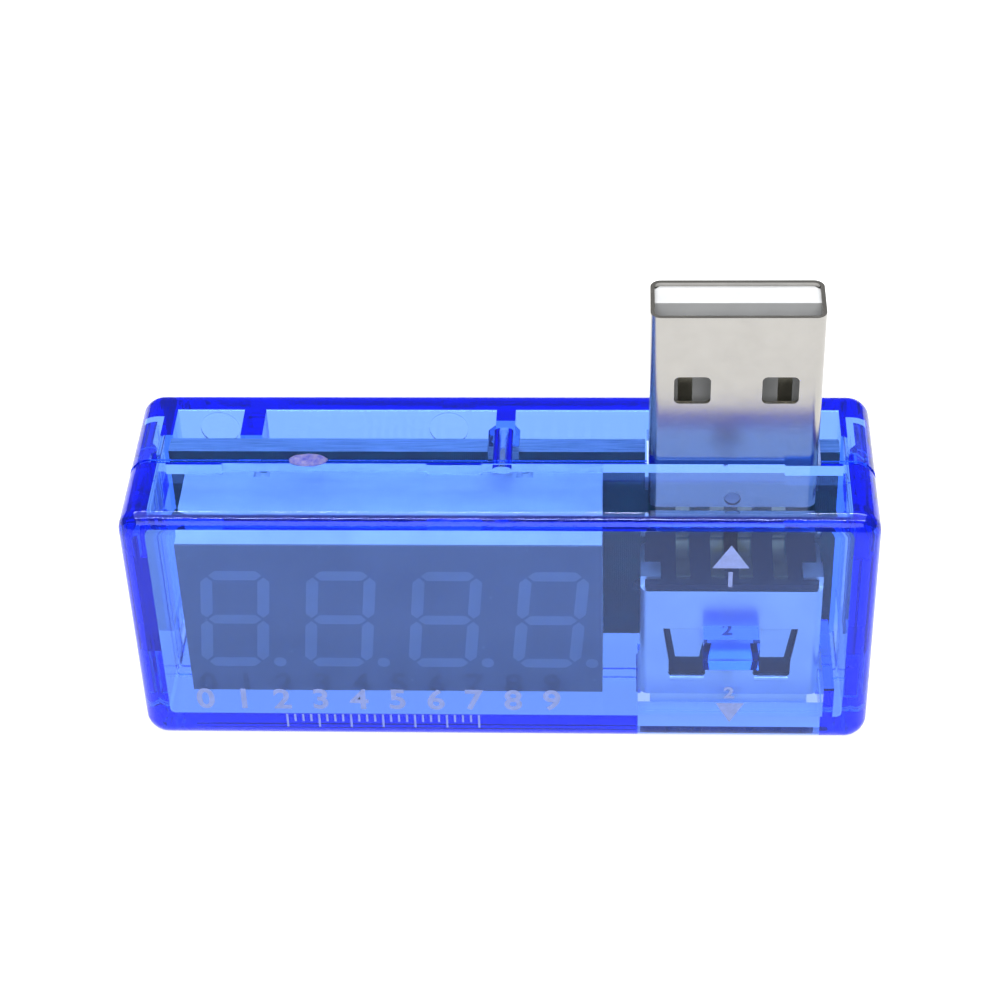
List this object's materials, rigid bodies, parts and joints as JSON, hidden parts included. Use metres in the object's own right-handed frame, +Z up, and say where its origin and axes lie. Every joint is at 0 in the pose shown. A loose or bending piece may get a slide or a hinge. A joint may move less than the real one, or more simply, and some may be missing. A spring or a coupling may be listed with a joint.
{
  "type": "usb power meter",
  "caption": "Pass-through USB voltage and current meter: clear blue two-part case, plug on top, socket underneath, digital display in front.",
  "frame": {"origin": "middle of the whole meter's footprint, at the underside of the case", "axes": "+X to the right as the display is read, +Y to the back, +Z up along the plug"},
  "size_m": [0.0534, 0.0152, 0.0336],
  "materials": {
    "clear_blue_case": "gloss moulded clear plastic",
    "green_board": "solder mask over glass fibre",
    "display_white": "satin",
    "display_grey": "matte paint",
    "segment_diffuser": "milky resin",
    "tinned_pin": "tinned",
    "plug_nickel": "nickel plate",
    "plug_white": "satin",
    "contact_gold": "thin gold plate",
    "socket_nickel": "nickel plate",
    "socket_black": "satin",
    "chip_black": "moulded epoxy",
    "resistor_black": "glazed ceramic",
    "capacitor_tan": "fired ceramic",
    "solder": "bright solder"
  },
  "bodies": {
    "meter": {"front_cover": "clear_blue_case", "back_cover": "clear_blue_case", "circuit_board": "green_board", "display_housing": "display_white", "display_mask": "display_grey", "display_segments": "segment_diffuser", "display_dots": "segment_diffuser", "display_pins": "tinned_pin", "plug_shell": "plug_nickel", "plug_insulator": "plug_white", "plug_contact_1": "contact_gold", "plug_contact_2": "contact_gold", "plug_contact_3": "contact_gold", "plug_contact_4": "contact_gold", "socket_shell": "socket_nickel", "socket_insulator": "socket_black", "socket_contact_1": "contact_gold", "socket_contact_2": "contact_gold", "socket_contact_3": "contact_gold", "socket_contact_4": "contact_gold", "controller_body": "chip_black", "controller_leads": "tinned_pin", "amplifier_body": "chip_black", "amplifier_leads": "tinned_pin", "regulator_body": "chip_black", "regulator_leads": "tinned_pin", "shunt_resistor": "resistor_black", "shunt_terminals": "tinned_pin", "chip_resistors": "resistor_black", "chip_capacitors": "capacitor_tan", "chip_terminals": "tinned_pin", "solder_joints": "solder"},
    "contact_spring_1": {"contact_spring_1": "contact_gold"},
    "contact_spring_2": {"contact_spring_2": "contact_gold"},
    "contact_spring_3": {"contact_spring_3": "contact_gold"},
    "contact_spring_4": {"contact_spring_4": "contact_gold"},
    "shell_spring_front_left": {"shell_spring_front_left": "socket_nickel"},
    "shell_spring_front_right": {"shell_spring_front_right": "socket_nickel"},
    "shell_spring_back_left": {"shell_spring_back_left": "socket_nickel"},
    "shell_spring_back_right": {"shell_spring_back_right": "socket_nickel"}
  },
  "joints": [
    {"name": "contact_1_bend", "type": "hinge", "parent": "meter", "child": "contact_spring_1", "pos_m": [0.0131, -0.00232, 0.0108], "axis": [-1, 0, 0], "range_deg": [0, 4], "stiffness_Nm_per_rad": 0.02},
    {"name": "contact_2_bend", "type": "hinge", "parent": "meter", "child": "contact_spring_2", "pos_m": [0.0156, -0.00232, 0.0108], "axis": [-1, 0, 0], "range_deg": [0, 4], "stiffness_Nm_per_rad": 0.02},
    {"name": "contact_3_bend", "type": "hinge", "parent": "meter", "child": "contact_spring_3", "pos_m": [0.0176, -0.00232, 0.0108], "axis": [-1, 0, 0], "range_deg": [0, 4], "stiffness_Nm_per_rad": 0.02},
    {"name": "contact_4_bend", "type": "hinge", "parent": "meter", "child": "contact_spring_4", "pos_m": [0.0201, -0.00232, 0.0108], "axis": [-1, 0, 0], "range_deg": [0, 4], "stiffness_Nm_per_rad": 0.02},
    {"name": "front_left_tongue_bend", "type": "hinge", "parent": "meter", "child": "shell_spring_front_left", "pos_m": [0.0135, -0.0039, 0.0088], "axis": [-1, 0, 0], "range_deg": [0, 5], "stiffness_Nm_per_rad": 0.05},
    {"name": "front_right_tongue_bend", "type": "hinge", "parent": "meter", "child": "shell_spring_front_right", "pos_m": [0.0197, -0.0039, 0.0088], "axis": [-1, 0, 0], "range_deg": [0, 5], "stiffness_Nm_per_rad": 0.05},
    {"name": "back_left_tongue_bend", "type": "hinge", "parent": "meter", "child": "shell_spring_back_left", "pos_m": [0.0135, 0.0013, 0.0088], "axis": [1, 0, 0], "range_deg": [0, 5], "stiffness_Nm_per_rad": 0.05},
    {"name": "back_right_tongue_bend", "type": "hinge", "parent": "meter", "child": "shell_spring_back_right", "pos_m": [0.0197, 0.0013, 0.0088], "axis": [1, 0, 0], "range_deg": [0, 5], "stiffness_Nm_per_rad": 0.05}
  ]
}
